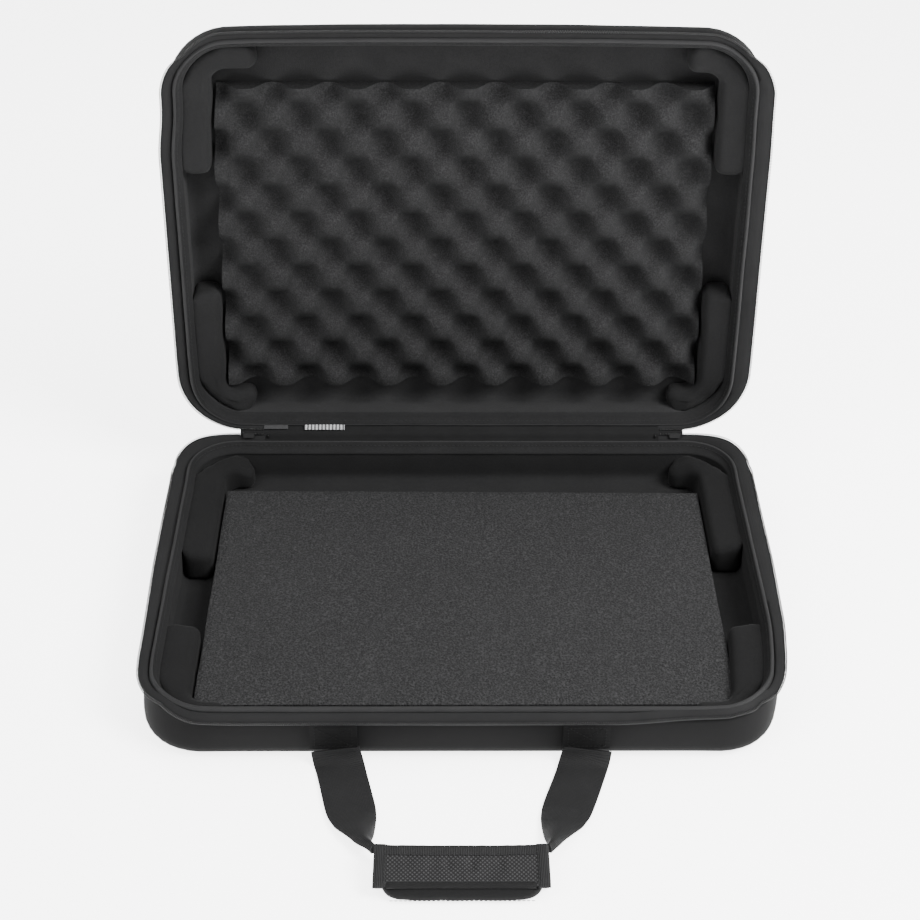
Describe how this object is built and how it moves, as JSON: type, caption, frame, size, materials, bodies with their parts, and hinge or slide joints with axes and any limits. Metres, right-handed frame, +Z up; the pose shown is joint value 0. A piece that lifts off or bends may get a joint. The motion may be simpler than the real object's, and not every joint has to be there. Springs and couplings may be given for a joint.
{
  "type": "soft-shell carry case",
  "caption": "Zip-round moulded soft-shell carry case, open on a fabric hinge, with foam pads and a webbing handle with padded grip.",
  "frame": {"origin": "centre of the base half's underside, on the surface the case lies on", "axes": "+Z up, +X to the right seen from the handle side, +Y from the handle towards the hinge; the lid stands open behind"},
  "size_m": [0.5444, 0.6199, 0.4527],
  "materials": {
    "shell_fabric": "ballistic polyester laminated on moulded EVA, matt",
    "fleece": "brushed fleece lining, matt",
    "binding": "woven binding tape over a foam roll, matt",
    "zip_tape": "woven polyester zip tape",
    "zip_coil": "moulded nylon coil, slight gloss",
    "base_foam": "open-cell charcoal foam, speckled",
    "lid_foam": "convoluted open-cell charcoal foam",
    "hinge_fabric": "woven polyester hinge strip",
    "woven_tag": "blank woven tag",
    "grey_tag": "blank printed tag, grey",
    "slider_metal": "black painted die-cast metal",
    "webbing": "polypropylene webbing",
    "grip_foam": "padded roll under a knitted cover",
    "grip_fabric": "ballistic nylon with a coarse diamond weave",
    "grosgrain": "ribbed grosgrain binding tape"
  },
  "bodies": {
    "base": {"base_shell": "shell_fabric", "base_liner": "fleece", "base_rim_binding": "binding", "base_zip_tape": "zip_tape", "base_zip_coil": "zip_coil", "base_hinge_leaf": "hinge_fabric", "base_corner_pad_front_left": "fleece", "base_corner_pad_front_right": "fleece", "base_corner_pad_rear_left": "fleece", "base_corner_pad_rear_right": "fleece", "anchor_patch_left": "webbing", "anchor_patch_right": "webbing", "zip_stop_left": "slider_metal", "zip_stop_right": "slider_metal"},
    "lid": {"lid_shell": "shell_fabric", "lid_liner": "fleece", "lid_rim_binding": "binding", "lid_zip_tape": "zip_tape", "lid_zip_coil": "zip_coil", "lid_hinge_leaf": "hinge_fabric", "lid_corner_pad_top_left": "fleece", "lid_corner_pad_top_right": "fleece", "lid_corner_pad_bottom_left": "fleece", "lid_corner_pad_bottom_right": "fleece", "lid_foam_pad": "lid_foam", "woven_tag": "woven_tag", "grey_tag": "grey_tag"},
    "base_foam": {"base_foam_pad": "base_foam"},
    "slider_left": {"zip_slider_left": "slider_metal"},
    "slider_right": {"zip_slider_right": "slider_metal"},
    "pull_tab_left": {"pull_tab_left": "slider_metal"},
    "pull_tab_right": {"pull_tab_right": "slider_metal"},
    "handle": {"strap_left": "webbing", "strap_right": "webbing", "grip_core": "grip_foam", "grip_end_binding_left": "grosgrain", "grip_end_binding_right": "grosgrain"},
    "grip_flap": {"grip_flap": "grip_fabric", "grip_flap_binding": "grosgrain"}
  },
  "joints": [
    {"name": "lid_hinge", "type": "hinge", "parent": "base", "child": "lid", "pos_m": [0, 0.1993, 0.0526], "axis": [-1, 0, 0], "range_deg": [-92.96, 87.04]},
    {"name": "handle_swing", "type": "hinge", "parent": "base", "child": "handle", "pos_m": [0, -0.1998, 0.0125], "axis": [-1, 0, 0], "range_deg": [0, 75]},
    {"name": "grip_flap_hinge", "type": "hinge", "parent": "handle", "child": "grip_flap", "pos_m": [0, -0.34503, 0.0119], "axis": [1, 0, 0], "range_deg": [0, 110]},
    {"name": "base_foam_lift", "type": "slide", "parent": "base", "child": "base_foam", "axis": [0, 0, 1], "range_m": [0, 0.06]},
    {"name": "slider_travel_left", "type": "slide", "parent": "base", "child": "slider_left", "axis": [1, 0, 0], "range_m": [0, 0.009]},
    {"name": "pull_tab_hinge_left", "type": "hinge", "parent": "slider_left", "child": "pull_tab_left", "pos_m": [-0.2058, 0.1986, 0.0472], "axis": [-1, 0, 0], "range_deg": [-60, 0]},
    {"name": "slider_travel_right", "type": "slide", "parent": "base", "child": "slider_right", "axis": [-1, 0, 0], "range_m": [0, 0.009]},
    {"name": "pull_tab_hinge_right", "type": "hinge", "parent": "slider_right", "child": "pull_tab_right", "pos_m": [0.2058, 0.1986, 0.0472], "axis": [-1, 0, 0], "range_deg": [-60, 0]}
  ]
}
